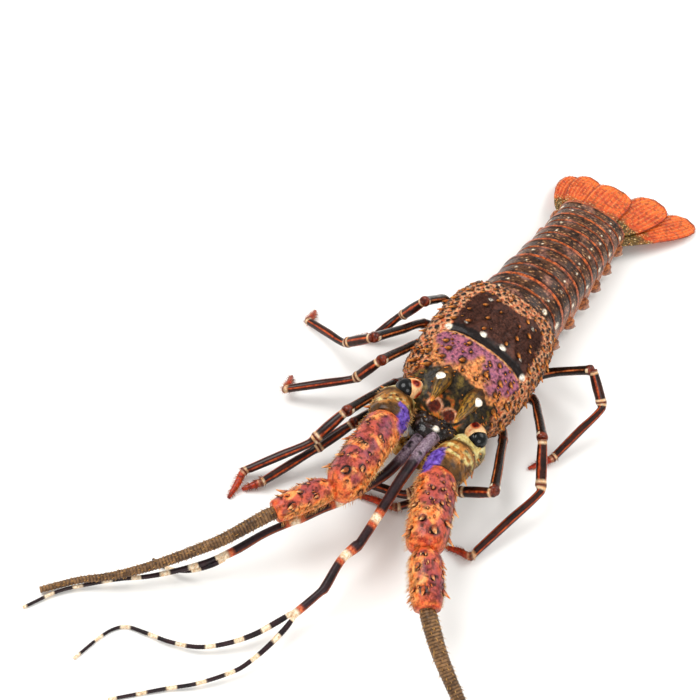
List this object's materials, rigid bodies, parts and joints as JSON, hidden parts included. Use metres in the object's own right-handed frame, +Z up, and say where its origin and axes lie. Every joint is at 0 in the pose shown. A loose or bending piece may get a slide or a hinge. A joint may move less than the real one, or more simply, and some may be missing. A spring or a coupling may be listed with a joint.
{
  "type": "spiny lobster model",
  "caption": "Still life-size model of a spiny lobster: spiny carapace with horns, thick jointed antennae, banded antennules, striped legs, segmented tail and fan.",
  "frame": {"origin": "on the floor plane, at the middle of the small flat under the breast plate between the legs", "axes": "+X towards the head, +Y the animal's left side, +Z up"},
  "size_m": [0.4776, 0.2351, 0.0559],
  "materials": {
    "carapace_shell": "satin shell: maroon-brown pads, cream honeycomb band, mauve front, white dots",
    "horn_shell": "satin olive-brown horn",
    "cornea": "glossy black eye",
    "eyestalk_shell": "satin cream with dark red patches",
    "face_shell": "satin brown and cream",
    "sternum_shell": "matt cream-tan shell",
    "mouth_shell": "matt yellow-brown shell",
    "tail_shell": "satin dark brown with white dots and orange-brown lines",
    "fan_shell": "satin olive-brown turning orange-red",
    "antenna_shell": "satin mauve-pink with black spots and orange spine tips",
    "whip_shell": "matt ringed taupe",
    "antennule_shell": "satin dark violet with cream bands",
    "leg_shell": "satin dark maroon with cream-orange stripes",
    "foot_shell": "matt orange-red shell with short bristles"
  },
  "bodies": {
    "root": {"carapace": "carapace_shell", "sternum": "sternum_shell", "face": "face_shell", "mouth_leg_right": "mouth_shell", "horn_right": "horn_shell", "eye_right": "cornea", "eyestalk_right": "eyestalk_shell", "antenna_base_right": "antenna_shell", "antenna_second_right": "antenna_shell", "antenna_third_right": "antenna_shell", "antenna_whip_right": "whip_shell", "antennule_right": "antennule_shell", "flagellum_outer_right": "antennule_shell", "flagellum_inner_right": "antennule_shell", "leg_upper_right_1": "leg_shell", "leg_lower_right_1": "foot_shell", "leg_upper_right_2": "leg_shell", "leg_lower_right_2": "foot_shell", "leg_upper_right_3": "leg_shell", "leg_lower_right_3": "foot_shell", "leg_upper_right_4": "leg_shell", "leg_lower_right_4": "foot_shell", "leg_upper_right_5": "leg_shell", "leg_lower_right_5": "foot_shell", "uropod_inner_right": "fan_shell", "uropod_outer_right": "fan_shell", "mouth_leg_left": "mouth_shell", "horn_left": "horn_shell", "eye_left": "cornea", "eyestalk_left": "eyestalk_shell", "antenna_base_left": "antenna_shell", "antenna_second_left": "antenna_shell", "antenna_third_left": "antenna_shell", "antenna_whip_left": "whip_shell", "antennule_left": "antennule_shell", "flagellum_outer_left": "antennule_shell", "flagellum_inner_left": "antennule_shell", "leg_upper_left_1": "leg_shell", "leg_lower_left_1": "foot_shell", "leg_upper_left_2": "leg_shell", "leg_lower_left_2": "foot_shell", "leg_upper_left_3": "leg_shell", "leg_lower_left_3": "foot_shell", "leg_upper_left_4": "leg_shell", "leg_lower_left_4": "foot_shell", "leg_upper_left_5": "leg_shell", "leg_lower_left_5": "foot_shell", "uropod_inner_left": "fan_shell", "uropod_outer_left": "fan_shell", "tail_segment_1": "tail_shell", "tail_segment_2": "tail_shell", "tail_segment_3": "tail_shell", "tail_segment_4": "tail_shell", "tail_segment_5": "tail_shell", "tail_segment_6": "tail_shell", "telson": "fan_shell"}
  },
  "joints": []
}
